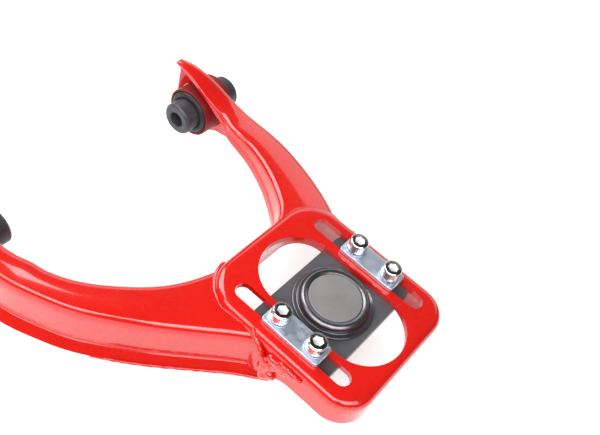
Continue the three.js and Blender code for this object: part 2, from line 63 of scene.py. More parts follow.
HEAD_INBOARD = 0.1235
HEAD_OUTBOARD = 0.2515
HEAD_NEAR = -0.027
HEAD_FAR = 0.087
HEAD_MIDDLE_Y = (HEAD_NEAR + HEAD_FAR) / 2
HEAD_TOP = 0.0234
HEAD_SHEET = 0.0045
HEAD_EDGE = 0.006
HEAD_INBOARD_CORNER = 0.027
HEAD_OUTBOARD_CORNER = 0.021

SLOT_X = 0.1887
SLOT_OFFSET = 0.0403
SLOT_LENGTH = 0.0924
SLOT_WIDTH = 0.0116

WINDOW_X = 0.1901
WINDOW_Y = 0.029
WINDOW_RADIUS = 0.0294
WINDOW_STRAIGHT = 0.0509

LEG_SHEET = 0.0032
SHOULDER_SHARE = 0.18  # the outer wall's shoulder, as a share of the wall's height
LEG_BOTTOM = -0.020
EAR_RADIUS = 0.024
BUSH_Y = 0.107
PRESS_GAP = 0.0003  # between pieces that are welded, pressed or seated together
SLEEVE_RADIUS = 0.0195

JOINT_X = 0.1915
JOINT_Y = HEAD_MIDDLE_Y
BALL_Z = 0.008
BALL_RADIUS = 0.014

CARRIER_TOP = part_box("ball_joint_plate")[1].z
SCREW_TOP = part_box("cap_screw_1")[1].z
SCREW_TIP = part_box("cap_screw_1")[0].z
SCREW_PITCH = 0.0285
SCREW_RADIUS = 0.004
SCREW_HEAD_RADIUS = 0.0065
SCREW_HEAD_HEIGHT = 0.008
SCREW_HOLE_RADIUS = 0.0043
SOCKET_ACROSS_FLATS = 0.006
SOCKET_DEPTH = 0.0026
KNURLS = 36

CUT_REACH = 0.05  # how far above or below the origin the cutting tools reach

# ---------------- outlines


def arc(x, y, radius, start, end, steps):
    """Points on an arc, its angles in degrees, both ends included."""
    turns = np.radians(np.linspace(start, end, steps + 1))
    return [(x + radius * math.cos(t), y + radius * math.sin(t)) for t in turns]


def circle(x, y, radius, count, start=0):
    """A circle as count points, or with a small count a regular polygon."""
    return arc(x, y, radius, start, start + 360 * (count - 1) / count, count - 1)


def rod(radius, low, high):
    """Half the section of a plain round bar, as (radius, height) pairs."""
    return [(0, low), (radius, low), (radius, high), (0, high)]


def rounded_rectangle(left, right, low, high, left_radius, right_radius, steps=12):
    return (
        arc(right - right_radius, low + right_radius, right_radius, -90, 0, steps)
        + arc(right - right_radius, high - right_radius, right_radius, 0, 90, steps)
        + arc(left + left_radius, high - left_radius, left_radius, 90, 180, steps)
        + arc(left + left_radius, low + left_radius, left_radius, 180, 270, steps)
    )


def stadium(x, y, radius, straight, steps=24):
    """A slot with round ends, lying along X."""
    return arc(x + straight / 2, y, radius, -90, 90, steps) + arc(
        x - straight / 2, y, radius, 90, 270, steps
    )


def smooth_line(points, count):
    """A smooth line through a few points, as count evenly spaced points."""
    p = np.array(points, float)
    ahead = np.vstack([p[1:], p[-1:]])
    behind = np.vstack([p[:1], p[:-1]])
    slope = (ahead - behind) / 2
    fine = []
    for i in range(len(p) - 1):
        t = np.linspace(0, 1, 24, endpoint=False)[:, None]
        a = (2 * t**3 - 3 * t**2 + 1) * p[i] + (t**3 - 2 * t**2 + t) * slope[i]
        b = (3 * t**2 - 2 * t**3) * p[i + 1] + (t**3 - t**2) * slope[i + 1]
        fine.append(a + b)
    fine = np.vstack([*fine, p[-1:]])
    along = np.concatenate([[0], np.cumsum(np.linalg.norm(np.diff(fine, axis=0), axis=1))])
    even = np.linspace(0, along[-1], count)
    return np.stack([np.interp(even, along, fine[:, k]) for k in range(p.shape[1])], axis=1)


def mirrored(points):
    """The points on the other side of the X axis."""
    return [(x, -y) for x, y in points]


def height_along(points, count=60):
    """A function of x that reads the smooth line through [x, z] points."""
    line = smooth_line(points, count)
    return lambda x: float(np.interp(x, line[:, 0], line[:, 1]))


def rounded(corners, radii, steps=5, closed=False):
    """The corners of a line, each replaced by an arc-like bend that starts radius before it."""
    out = []
    n = len(corners)
    for i, corner in enumerate(corners):
        radius = radii[i] if isinstance(radii, (list, tuple)) else radii
        if radius == 0 or (not closed and i in (0, n - 1)):
            out.append(tuple(corner))
            continue
        here = Vector(corner)
        before = Vector(corners[i - 1]) - here
        after = Vector(corners[(i + 1) % n]) - here
        start = here + before.normalized() * min(radius, before.length * 0.49)
        end = here + after.normalized() * min(radius, after.length * 0.49)
        for t in np.linspace(0, 1, steps + 1):
            point = start * (1 - t) ** 2 + here * 2 * t * (1 - t) + end * t**2
            out.append(tuple(point))
    return out


def bent(corners, steps, closed=False):
    """A rounded line, from corners that are (x, y, bend) triples."""
    points = [corner[:2] for corner in corners]
    return rounded(points, [corner[2] for corner in corners], steps, closed)


# ---------------- meshes


def add(name, data):
    """Adds an object to the scene."""
    item = bpy.data.objects.new(name, data)
    bpy.context.scene.collection.objects.link(item)
    return item


def new_piece(name, vertices, faces):
    mesh = bpy.data.meshes.new(name)
    mesh.from_pydata([tuple(v) for v in vertices], [], faces)
    mesh.validate()
    piece = add(name, mesh)
    outward(piece)
    return piece


def outward(piece):
    """Turns every face of a closed piece outwards."""
    work = bmesh.new()
    work.from_mesh(piece.data)
    bmesh.ops.remove_doubles(work, verts=work.verts, dist=1e-7)
    bmesh.ops.recalc_face_normals(work, faces=work.faces)
    work.to_mesh(piece.data)
    work.free()


def smooth(piece, angle=32):
    """Smooth shading, apart from edges sharper than the angle."""
    for polygon in piece.data.polygons:
        polygon.use_smooth = True
    piece.data.set_sharp_from_angle(angle=math.radians(angle))


def bake(piece):
    """Turns the piece's modifiers into its mesh."""
    depsgraph = bpy.context.evaluated_depsgraph_get()
    mesh = bpy.data.meshes.new_from_object(piece.evaluated_get(depsgraph))
    piece.modifiers.clear()
    piece.data = mesh
    mesh.name = piece.name


def cut(piece, *cutters, operation="DIFFERENCE"):
    for cutter in cutters:
        modifier = piece.modifiers.new("cut", "BOOLEAN")
        modifier.operation = operation
        modifier.solver = "EXACT"
        modifier.use_hole_tolerant = True
        modifier.object = cutter
        bake(piece)
        bpy.data.objects.remove(cutter)
    return piece


def soften(piece, width, segments=3, angle=40):
    """Rounds the piece's sharp edges, and keeps its flat faces flat."""
    modifier = piece.modifiers.new("soften", "BEVEL")
    modifier.width = width
    modifier.segments = segments
    modifier.limit_method = "ANGLE"
    modifier.angle_limit = math.radians(angle)
    modifier.harden_normals = True
    for polygon in piece.data.polygons:
        polygon.use_smooth = True
    bake(piece)
    return piece


def band(rings, ring_closed):
    """The four-sided faces between rings of equal point counts."""
    count = len(rings[0])
    faces = []
    for i in range(len(rings) - 1):
        for j in range(count if ring_closed else count - 1):
            k = (j + 1) % count
            faces.append((i * count + j, i * count + k, (i + 1) * count + k, (i + 1) * count + j))
    return faces


def skin(name, rings, ring_closed, ends_capped):
    """A surface through rings of equal point counts."""
    count = len(rings[0])
    vertices = [point for ring in rings for point in ring]
    faces = band(rings, ring_closed)
    if ends_capped:
        faces.append(tuple(range(count))[::-1])
        faces.append(tuple(range(len(vertices) - count, len(vertices))))
    return new_piece(name, vertices, faces)


def prism(name, outline, low, high):
    rings = [[(x, y, z) for x, y in outline] for z in (low, high)]
    return skin(name, rings, ring_closed=True, ends_capped=True)


def turned(name, profile, at, axis="Z", segments=96):
    """A turned piece, from (radius, height) pairs that go round its section."""
    rings = []
    for radius, height in profile:
        ring = []
        for turn in np.linspace(0, 2 * math.pi, segments, endpoint=False):
            across, over = radius * math.cos(turn), radius * math.sin(turn)
            spot = (across, over, height) if axis == "Z" else (over, height, across)
            ring.append(tuple(a + b for a, b in zip(at, spot)))
        rings.append(ring)
    return skin(name, rings, ring_closed=True, ends_capped=False)


def tube(name, path, radius_at, sides=14):
    """A closed tube along a path of points, its radius given by a function of 0 to 1 and the turn."""
    points = [Vector(p) for p in path]
    rings = []
    for i, point in enumerate(points):
        along = (points[min(i + 1, len(points) - 1)] - points[max(i - 1, 0)]).normalized()
        side = along.cross(Vector((0, 0, 1)))
        if side.length < 0.1:
            side = along.cross(Vector((0, 1, 0)))
        side.normalize()
        over = side.cross(along)
        share = i / (len(points) - 1)
        ring = []
        for j in range(sides):
            turn = 2 * math.pi * j / sides
            radius = radius_at(share, turn)
            ring.append(point + side * math.cos(turn) * radius + over * math.sin(turn) * radius)
        rings.append(ring)
    return skin(name, rings, ring_closed=True, ends_capped=True)


def joined(name, *parts):
    """The parts as one piece."""
    work = bmesh.new()
    for part in parts:
        work.from_mesh(part.data)
        bpy.data.objects.remove(part)
    mesh = bpy.data.meshes.new(name)
    work.to_mesh(mesh)
    work.free()
    return add(name, mesh)


def give(piece, material, node):
    """Gives the piece its material, and hides the CAD node that it stands for."""
    piece.data.materials.clear()
    piece.data.materials.append(material)
    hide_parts(node)


def place(piece, material, body, node):
    """Gives the piece its material and body, and hides the CAD node that it stands for."""
    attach(piece, body)
    give(piece, material, node)


def coat(piece, material, chosen):
    """Gives some of the piece's faces another material."""
    piece.data.materials.append(material)
    for face in piece.data.polygons:
        if chosen(face):
            face.material_index = len(piece.data.materials) - 1


# ---------------- materials


class Recipe:
    """A material's nodes, with the few steps that the materials here share."""

    def __init__(self, name, **values):
        self.material = bpy.data.materials.new(name)
        self.material.use_nodes = True
        self.tree = self.material.node_tree
        self.shader = self.tree.nodes["Principled BSDF"]
        for socket, value in values.items():
            self.shader.inputs[socket.replace("_", " ")].default_value = value
        self.place = self.node("TexCoord").outputs["Object"]

    def link(self, start, end):
        self.tree.links.new(start, end)

    def node(self, kind, **values):
        node = self.tree.nodes.new("ShaderNode" + kind)
        for socket, value in values.items():
            node.inputs[socket].default_value = value
        return node

    def noise(self, scale, detail=4.0, roughness=0.55):
        node = self.node("TexNoise", Scale=scale, Detail=detail, Roughness=roughness)
        self.link(self.place, node.inputs["Vector"])
        return node.outputs["Fac"]

    def ramp(self, factor, *stops):
        """A colour ramp over the factor. The stops are (position, colour or grey) pairs."""
        node = self.node("ValToRGB")
        elements = node.color_ramp.elements
        while len(elements) < len(stops):
            elements.new(0.5)
        for element, (position, colour) in zip(elements, stops):
            element.position = position
            grey = isinstance(colour, (int, float))
            element.color = (colour, colour, colour, 1) if grey else (*colour, 1)
        self.link(factor, node.inputs["Fac"])
        return node.outputs["Color"]

    def mix(self, factor, a, b):
        node = self.node("Mix")
        node.data_type = "RGBA"
        self.link(factor, node.inputs["Factor"])
        for socket, value in ((node.inputs["A"], a), (node.inputs["B"], b)):
            if isinstance(value, tuple):
                socket.default_value = (*value, 1)
            else:
                self.link(value, socket)
        return node.outputs["Result"]

    def bump(self, height, strength, distance):
        node = self.node("Bump", Strength=strength, Distance=distance)
        self.link(height, node.inputs["Height"])
        self.link(node.outputs["Normal"], self.shader.inputs["Normal"])

    def colour(self, source):
        self.link(source, self.shader.inputs["Base Color"])

    def roughness(self, source):
        self.link(source, self.shader.inputs["Roughness"])

    def mottle(self, scale, dark, light, detail=5.0, dark_until=0.3):
        """The surface's colour, which wanders between two tones."""
        self.colour(self.ramp(self.noise(scale, detail), (dark_until, dark), (0.7, light)))

    def gloss(self, source, low, high):
        """The surface's roughness, between a low and a high one."""
        self.roughness(self.ramp(source, (0.3, low), (0.7, high)))


def paint_material():
    """Glossy red powder coat: faint orange peel, and a slight change of depth over the sheet."""
    recipe = Recipe(
        "red_powder_coat",
        IOR=1.45,
        Specular_IOR_Level=0.2,
        Coat_Weight=1.0,
        Coat_Roughness=0.07,
        Coat_IOR=1.6,
    )
    recipe.mottle(18, (0.54, 0.0050, 0.0022), (0.62, 0.0075, 0.0030), detail=3)
    recipe.roughness(recipe.ramp(recipe.noise(240, detail=2), (0.35, 0.2), (0.7, 0.3)))
    recipe.bump(recipe.noise(420, detail=2), 0.06, 0.0003)
    return recipe.material


def sleeve_material():
    """Bare grey steel under a mist of red overspray."""
    recipe = Recipe("bush_sleeve_steel", Metallic=0.45)
    mist = recipe.ramp(recipe.noise(130, detail=6, roughness=0.7), (0.32, 0.35), (0.52, 1.0))
    dark, light, overspray = (0.085, 0.028, 0.032), (0.15, 0.050, 0.058), (0.25, 0.010, 0.011)
    steel = recipe.ramp(recipe.noise(700, detail=3), (0.3, dark), (0.7, light))
    recipe.colour(recipe.mix(mist, steel, overspray))
    recipe.gloss(recipe.noise(500), 0.38, 0.6)
    recipe.bump(recipe.noise(1800, detail=3), 0.2, 0.0002)
    return recipe.material


def black_steel_material(name, dark, light, roughness, grain):
    """Satin black coating with a fine grain."""
    recipe = Recipe(name, Metallic=0.3)
    recipe.mottle(60, dark, light)
    recipe.gloss(recipe.noise(300), roughness - 0.06, roughness + 0.08)
    recipe.bump(recipe.noise(grain, detail=4), 0.25, 0.0002)
    return recipe.material


def rubber_material(name, tone):
    """Black rubber, a little mottled, with a matte skin."""
    recipe = Recipe(name, Metallic=0.0, IOR=1.5)
    dark = (tone, tone, tone * 1.1)
    light = (tone * 1.8, tone * 1.8, tone * 2.0)
    recipe.mottle(90, dark, light, dark_until=0.35)
    recipe.gloss(recipe.noise(260), 0.42, 0.6)
    recipe.bump(recipe.noise(1500, detail=4), 0.3, 0.00015)
    return recipe.material


def metal_material(name, dark, light, low_roughness, high_roughness, grain=900):
    """Bare or plated metal, whose fine grain sets both its roughness and its bump."""
    recipe = Recipe(name, Metallic=1.0)
    recipe.mottle(110, dark, light)
    grain_noise = recipe.noise(grain, detail=3)
    recipe.gloss(grain_noise, low_roughness, high_roughness)
    recipe.bump(grain_noise, 0.12, 0.0001)
    return recipe.material


def cover_material():
    """Dull warm grey sheet steel with a fine, even grain."""
    recipe = Recipe("cover_steel", Metallic=0.35)
    recipe.mottle(70, (0.218, 0.210, 0.206), (0.262, 0.253, 0.247))
    recipe.gloss(recipe.noise(400), 0.42, 0.55)
    recipe.bump(recipe.noise(1500, detail=3), 0.3, 0.0001)
    return recipe.material


def nylon_material():
    """Plain cream nylon."""
    recipe = Recipe("natural_nylon", Roughness=0.5)
    recipe.mottle(80, (0.72, 0.70, 0.60), (0.8, 0.78, 0.7), detail=4)
    recipe.bump(recipe.noise(800), 0.1, 0.0001)
    return recipe.material


PAINT = paint_material()
SLEEVE = sleeve_material()
CORE = black_steel_material("bush_core_black", (0.038, 0.038, 0.045), (0.068, 0.068, 0.079), 0.40, 1400)
PLATE = black_steel_material("plate_black", (0.075, 0.074, 0.080), (0.115, 0.113, 0.121), 0.42, 1000)
CUP = metal_material("housing_steel", (0.15, 0.145, 0.155), (0.23, 0.225, 0.24), 0.26, 0.36, grain=1600)
BUSH_RUBBER = rubber_material("bush_rubber", 0.007)
BOOT_RUBBER = rubber_material("boot_rubber", 0.010)
ZINC = metal_material("blue_zinc", (0.55, 0.63, 0.75), (0.74, 0.81, 0.91), 0.34, 0.50, grain=260)
CHROME = metal_material("bright_plate", (0.74, 0.75, 0.77), (0.88, 0.89, 0.90), 0.08, 0.18)
# The screw heads' top faces: chrome painted dark, a painted dark reflection.
SCREW_TOP_DARK_REFLECTION = metal_material("screw_top_painted_dark_reflection", (0.10, 0.095, 0.09), (0.30, 0.29, 0.27), 0.14, 0.3, grain=1400)
# The screw sockets: painted near-white, a painted highlight.
SOCKET_PAINTED_HIGHLIGHT = metal_material("screw_socket_painted_highlight", (0.82, 0.82, 0.82), (0.92, 0.92, 0.92), 0.5, 0.65)
COVER = cover_material()
STUD = metal_material("stud_steel", (0.30, 0.30, 0.32), (0.42, 0.42, 0.44), 0.28, 0.42)
NUT = metal_material("nut_steel", (0.26, 0.26, 0.29), (0.38, 0.38, 0.42), 0.32, 0.48)
BRASS = metal_material("ring_brass", (0.50, 0.40, 0.24), (0.66, 0.55, 0.36), 0.2, 0.32)
NYLON = nylon_material()

# ---------------- the pressed head

# The bottom edge of the head's skirt: deep at the legs, shallow outboard. [x, z] along it.
SKIRT = height_along([
    (0.118, -0.017), (0.160, -0.017), (0.176, -0.0155), (0.190, -0.008),
    (0.199, -0.002), (0.208, 0.0), (0.256, 0.0),
])


def head_outline(inset):
    sides = (HEAD_INBOARD + inset, HEAD_OUTBOARD - inset, HEAD_NEAR + inset, HEAD_FAR - inset)
    radii = (HEAD_INBOARD_CORNER - inset, HEAD_OUTBOARD_CORNER - inset)
    return rounded_rectangle(*sides, *radii, steps=20)


def dense(outline, spacing=0.003):
    """The closed outline with its long straights divided, so that its edge can rise and fall."""
    out = []
    for i, here in enumerate(outline):
        ahead = outline[(i + 1) % len(outline)]
        steps = max(1, round(math.dist(here, ahead) / spacing))
        out += [tuple(np.array(here) + (np.array(ahead) - here) * k / steps) for k in range(steps)]
    return out


def head_shell():
    """The head as one folded sheet, before its window and slots are cut."""
    inner_corner = 0.002
    below_edge = 0.004
    outer = dense(head_outline(0))
    ceiling = HEAD_TOP - HEAD_SHEET
    rings = [
        [(*shrunk(x, y, HEAD_SHEET + inner_corner), ceiling) for x, y in outer],
        [(*shrunk(x, y, HEAD_SHEET), ceiling - inner_corner) for x, y in outer],
        [(*shrunk(x, y, HEAD_SHEET), SKIRT(x)) for x, y in outer],
        [(x, y, SKIRT(x)) for x, y in outer],
        [(x, y, HEAD_TOP - HEAD_EDGE - below_edge) for x, y in outer],
    ]
    for turn in np.radians(np.linspace(0, 90, 9)):
        inset = HEAD_EDGE * (1 - math.cos(turn))
        z = HEAD_TOP - HEAD_EDGE * (1 - math.sin(turn))
        rings.append([(*shrunk(x, y, inset), z) for x, y in outer])
    count = len(outer)
    vertices = [point for ring in rings for point in ring]
    ends = [tuple(range(count)), tuple(range(len(vertices) - count, len(vertices)))]
    return new_piece("head_shell", vertices, band(rings, ring_closed=True) + ends)


def shrunk(x, y, inset):
    """A point of the head's outline moved in by a distance."""
    left = HEAD_INBOARD + HEAD_INBOARD_CORNER
    right = HEAD_OUTBOARD - HEAD_OUTBOARD_CORNER
    corner = HEAD_INBOARD_CORNER if x < (left + right) / 2 else HEAD_OUTBOARD_CORNER
    core_x = min(max(x, left), right)
    core_y = min(max(y, HEAD_NEAR + corner), HEAD_FAR - corner)
    reach = math.hypot(x - core_x, y - core_y)
    share = (reach - inset) / reach
    return core_x + (x - core_x) * share, core_y + (y - core_y) * share


def make_head():
    """The pressed head, with its window and its two slots."""
    head = head_shell()
    low, high = HEAD_TOP - 0.02, HEAD_TOP + 0.01
    opening = stadium(WINDOW_X, WINDOW_Y, WINDOW_RADIUS, WINDOW_STRAIGHT, 40)
    window = prism("window", opening, low, high)
    slots = []
    for side in (-1, 1):
        slot_y = HEAD_MIDDLE_Y + side * SLOT_OFFSET
        opening = stadium(SLOT_X, slot_y, SLOT_WIDTH / 2, SLOT_LENGTH - SLOT_WIDTH)
        slots.append(prism("slot", opening, low, high))
    cut(head, window, *slots)
    soften(head, 0.0009, angle=50)
    head.name = "head"
    place(head, PAINT, "arm", "head_pan")


# ---------------- the legs

STATIONS = 110
FLARE_FROM = 0.012  # the X past the bush at which the walls start to take their full shape
FLARE_OVER = 0.030

SKIN_GAP = 0.0002  # the walls lie this far inside the leg's paths
FOOT_OUT = 0.0030  # how far the outer wall's foot stands out from its path
LEDGE = [(0.0019, -0.0007), (0.0031, 0.0001)]  # its edges: in from the path, up from the shoulder
LEDGE_BENDS = [0.0014, 0.0009]
WALL_IN = 0.0029  # how far the outer wall's top leans in
ROOF_DROP = 0.0008  # how far the roof's edges lie below its path
ROOF_FILLET = 0.0085
INNER_FILLET = 0.0052
LIP_HEIGHT = 0.0055
LIP_OUT = [0.0010, 0.0014]  # how far the inner wall's lip stands out, at its top and its edge
LIP_BEND = 0.0015

# Beside the bush the inner wall narrows to the edge of the roof: [x, z] along that edge.
FLAP_EDGE = [(-0.0225, 0.032), (-0.012, 0.0292), (0, 0.0248), (0.012, 0.0194), (0.024, 0.014)]

# Beside the bush both walls follow these paths, seen from above, on either leg's side.
EYE_OUTER = [(-0.0225, 0.1035), (-0.008, 0.109)]
EYE_INNER = [(-0.0225, 0.0955), (-0.008, 0.0955), (0.008, 0.0955), (0.024, 0.0955)]

# Each leg's outer and inner walls as paths seen from above, and the inner wall's lower edge as
# [x, z] points. The roof's arch is a height, and its slope a rise per width.

SHORT_LEG = {
    "side": 1,
    "arch": 0.0005,
    "slope": 0.095,
    "outer": [
        *EYE_OUTER, (0.020, 0.1155), (0.050, 0.119), (0.080, 0.118), (0.113, 0.1105),
        (0.141, 0.0995), (0.175, 0.080),
    ],
    "inner": [
        *EYE_INNER, (0.033, 0.0935), (0.044, 0.0898), (0.066, 0.087), (0.089, 0.079),
        (0.107, 0.069), (0.1187, 0.0585), (0.132, 0.036),
    ],
    "inner_low": [
        *FLAP_EDGE, (0.034, 0.011), (0.043, 0.009), (0.060, 0.0055),
        (0.075, 0.0035), (0.092, 0.001), (0.110, -0.002), (0.140, -0.004),
    ],
}
LONG_LEG = {
    "side": -1,
    "arch": 0.0007,
    "slope": 0.0,
    "outer": [
        *mirrored(EYE_OUTER), (0.018, -0.1155), (0.045, -0.1145), (0.071, -0.106),
        (0.094, -0.095), (0.123, -0.0745), (0.150, -0.0515), (0.166, -0.0373),
        (0.176, -0.0294), (0.184, -0.0240), (0.190, -0.0195),
    ],
    "inner": [
        *mirrored(EYE_INNER), (0.034, -0.0925), (0.045, -0.0885), (0.057, -0.0855), (0.074, -0.0765),
        (0.092, -0.061), (0.1075, -0.043), (0.118, -0.023), (0.127, 0.006),
    ],
    "inner_low": [
        *FLAP_EDGE, (0.034, 0.003), (0.044, -0.009), (0.054, -0.017), (0.066, -0.020), (0.140, -0.020),
    ],
}
# The height of both legs' roofs: high over the bush, level along the leg, and up onto the head.
ROOF = height_along([
    (-0.030, 0.0335), (-0.0225, 0.0335), (-0.012, 0.033), (0.000, 0.0295),
    (0.012, 0.0245), (0.025, 0.0205), (0.042, 0.019), (0.060, 0.019),
    (0.150, 0.019), (0.168, 0.0195), (0.182, 0.022), (0.200, 0.022),
])


def outer_bottom(x):
    """The height of the outer wall's foot: round below the bush, then level."""
    meets = math.sqrt(EAR_RADIUS**2 - LEG_BOTTOM**2)
    return -math.sqrt(max(EAR_RADIUS**2 - x**2, 0)) if x < meets else LEG_BOTTOM


def leg_section(outer, inner, roof, outer_low, inner_low, flare, leg):
    """A leg's cross-section, from the outer wall's foot over the roof to the inner wall's foot.

    The outer wall stands on a narrow ledge, and below it the wall slopes outwards. The inner wall
    has a small lip. flare is 0 at the bush, where the walls are plain, and 1 along the leg.
    The roof is arched a little, and the leg's slope raises its inner side.
    """
    across = Vector(inner) - Vector(outer)
    width = across.length
    across.normalize()
    widest_fillet = 0.42 * width
    crown = min(leg["arch"], 0.06 * width)
    rise = leg["slope"] * width * flare / 2
    shoulder = outer_low + (roof - outer_low) * SHOULDER_SHARE
    drop = max(roof - inner_low, 0.0012)
    lip = inner_low + min(LIP_HEIGHT, 0.35 * drop)
    half_step = min(0.001, 0.1 * drop)
    inside = width - SKIN_GAP
    corners = [
        (SKIN_GAP - FOOT_OUT * flare, outer_low),
        *((SKIN_GAP + inward * flare, shoulder + up) for inward, up in LEDGE),
        (SKIN_GAP + WALL_IN * flare, roof - ROOF_DROP - rise),
        (width * 0.5, roof + crown),
        (inside, roof - min(ROOF_DROP, 0.2 * drop) + rise),
        (inside, lip + half_step),
        (inside + LIP_OUT[0] * flare, lip - half_step),
        (inside + LIP_OUT[1] * flare, inner_low),
    ]
    roof_bends = [min(ROOF_FILLET, widest_fillet), width * 0.2, min(INNER_FILLET, widest_fillet)]
    bends = [0, *LEDGE_BENDS, *roof_bends, LIP_BEND, LIP_BEND, 0]
    line = rounded(corners, bends, steps=6)
    return [(outer[0] + across.x * t, outer[1] + across.y * t, z) for t, z in line]


def leg_sheet(name, leg):
    """The leg as an open sheet without thickness, skinned over its cross-sections."""
    outer = smooth_line(leg["outer"], STATIONS)
    inner = smooth_line(leg["inner"], STATIONS)
    low_inside = height_along(leg["inner_low"], 120)
    rings = []
    for o, i in zip(outer, inner):
        flare = min(max((o[0] - FLARE_FROM) / FLARE_OVER, 0), 1)
        roof = ROOF((o[0] + i[0]) / 2)
        rings.append(leg_section(o, i, roof, outer_bottom(o[0]), low_inside(i[0]), flare, leg))
    return skin(name, rings, ring_closed=False, ends_capped=False)


def thicken(piece, thickness):
    modifier = piece.modifiers.new("thicken", "SOLIDIFY")
    modifier.thickness = thickness
    modifier.offset = -1
    modifier.use_even_offset = False
    bake(piece)


def face_up(piece):
    """Turns an open sheet so that it looks up on the whole."""
    if sum(face.normal.z * face.area for face in piece.data.polygons) < 0:
        piece.data.flip_normals()


def make_leg(name, leg, node):
    """A folded leg with the hole for its bush, ended where the head starts."""
    piece = leg_sheet(name, leg)
    face_up(piece)
    thicken(piece, LEG_SHEET)
    bore = rod(SLEEVE_RADIUS + PRESS_GAP, -0.03, 0.03)
    hole = turned("hole", bore, (0, leg["side"] * BUSH_Y, 0), axis="Y")
    cut(piece, hole, head_room(leg["side"] < 0))
    drop_scraps(piece)
    soften(piece, 0.0005, segments=2, angle=50)
    place(piece, PAINT, "arm", node)


def head_room(open_below):
    """The room that the head takes up. The long leg's outer wall passes under its skirt."""
    inset = 0.0012
    outline = dense(head_outline(inset))
    floor = [(x, y, SKIRT(x) - PRESS_GAP if open_below else -CUT_REACH) for x, y in outline]
    ceiling = [(x, y, CUT_REACH) for x, y in outline]
    return skin("head_room", [floor, ceiling], ring_closed=True, ends_capped=True)


def drop_scraps(piece):
    """Keeps only the largest connected part of the piece's mesh."""
    work = bmesh.new()
    work.from_mesh(piece.data)
    left = set(work.verts)
    parts = []
    while left:
        seed = left.pop()
        part, edge = {seed}, [seed]
        while edge:
            here = edge.pop()
            for link in here.link_edges:
                other = link.other_vert(here)
                if other in left:
                    left.remove(other)
                    part.add(other)
                    edge.append(other)
        parts.append(part)
    largest = max(parts, key=len)
    scraps = [v for part in parts if part is not largest for v in part]
    bmesh.ops.delete(work, geom=scraps, context="VERTS")
    work.to_mesh(piece.data)
    work.free()


def lumpy(radius, seed, rough=0.16):
    """A weld bead's radius along its length: overlapping ripples of uneven size, tapered at its ends."""
    shake = random.Random(seed)
    phases = [(shake.uniform(6, 26), shake.uniform(0, 6.3), shake.uniform(0.3, 1)) for _ in range(6)]

    def at(share, turn):
        wave = sum(a * math.sin(f * share * 6.3 + p + 0.8 * math.cos(turn)) for f, p, a in phases) / 3
        taper = min(1, share * 14 + 0.35, (1 - share) * 14 + 0.35)
        return radius * taper * (1 + rough * wave)

    return at


def fuse(piece):
    """Melts the piece's overlapping parts into one skin."""
    remesh = piece.modifiers.new("fuse", "REMESH")
    remesh.mode = "VOXEL"
    remesh.voxel_size = 0.00055
    soft = piece.modifiers.new("melt", "SMOOTH")
    soft.factor = 0.5
    soft.iterations = 2
    bake(piece)


BEAD_TOP = HEAD_TOP - HEAD_EDGE  # where the head's side starts to turn over into its top


def shoulder_bead(edge_y, side, last_angle, end_lift, seed):
    """The smooth bead round one inboard corner of the head, on the leg's roof."""
    radius = HEAD_INBOARD_CORNER
    centre_y = edge_y - side * radius
    corner = arc(HEAD_INBOARD + radius, centre_y, radius - 0.0004, 180, last_angle, 30)
    path = [(x, y, BEAD_TOP + 0.0006) for x, y in corner]
    path.append((0.160, edge_y - side * 0.0008, BEAD_TOP + end_lift))
    return tube("over", path, lumpy(0.0022, seed, rough=0.04))


def finish_weld(weld, node):
    fuse(weld)
    smooth(weld, 180)
    place(weld, PAINT, "arm", node)


def make_long_leg_weld():
    """The beads between the long leg and the head: smooth on top, lumpy down the leg's side."""
    corner = smooth_line([
        (0.168, -0.0238, 0.0212), (0.172, -0.0258, 0.0202), (0.1765, -0.0280, 0.0182),
        (0.181, -0.0290, 0.0145), (0.1848, -0.0295, 0.0095), (0.1865, -0.0298, 0.002),
        (0.187, -0.0298, -0.007),
    ], 60)
    foot = [(0.186, -0.0290, -0.011), (0.190, -0.0280, -0.0075), (0.196, -0.0272, -0.002)]
    corner_bead = tube("long_leg_weld", corner, lumpy(0.0021, 3, rough=0.12))
    tail_lumps = make_tail()
    foot_bead = tube("foot", smooth_line(foot, 30), lumpy(0.0022, 5, rough=0.3))
    over_bead = shoulder_bead(HEAD_NEAR, -1, 262, 0.002, seed=8)
    weld = joined("long_leg_weld", corner_bead, *tail_lumps, foot_bead, over_bead)
    finish_weld(weld, "long_leg_weld_bead")


def make_short_leg_weld():
    """The beads between the short leg and the head: over its top, and down its side."""
    drop = smooth_line([(0.163, 0.0875, 0.018), (0.167, 0.088, 0.010), (0.167, 0.088, -0.013)], 40)
    over_bead = shoulder_bead(HEAD_FAR, 1, 92, 0.001, seed=9)
    down_bead = tube("down", drop, lumpy(0.0022, 12, rough=0.2))
    weld = joined("short_leg_weld", over_bead, down_bead)
    finish_weld(weld, "short_leg_weld_bead")


def blob(name, at, sizes, shake):
    """A lump of weld metal: a squashed ball whose surface swells and dips a little."""
    waves = [(shake.uniform(1, 3), shake.uniform(0, 6.3), shake.uniform(0.03, 0.09)) for _ in range(3)]
    rings = []
    for tilt in np.linspace(-0.49 * math.pi, 0.49 * math.pi, 13):
        ring = []
        for turn in np.linspace(0, 2 * math.pi, 20, endpoint=False):
            swell = 1 + sum(a * math.sin(round(f) * turn + p + 2 * tilt) for f, p, a in waves)
            reach = math.cos(tilt) * swell
            x = at[0] + sizes[0] * reach * math.cos(turn)
            y = at[1] + sizes[1] * reach * math.sin(turn)
            ring.append((x, y, at[2] + sizes[2] * math.sin(tilt)))
        rings.append(ring)
    return skin(name, rings, ring_closed=True, ends_capped=True)


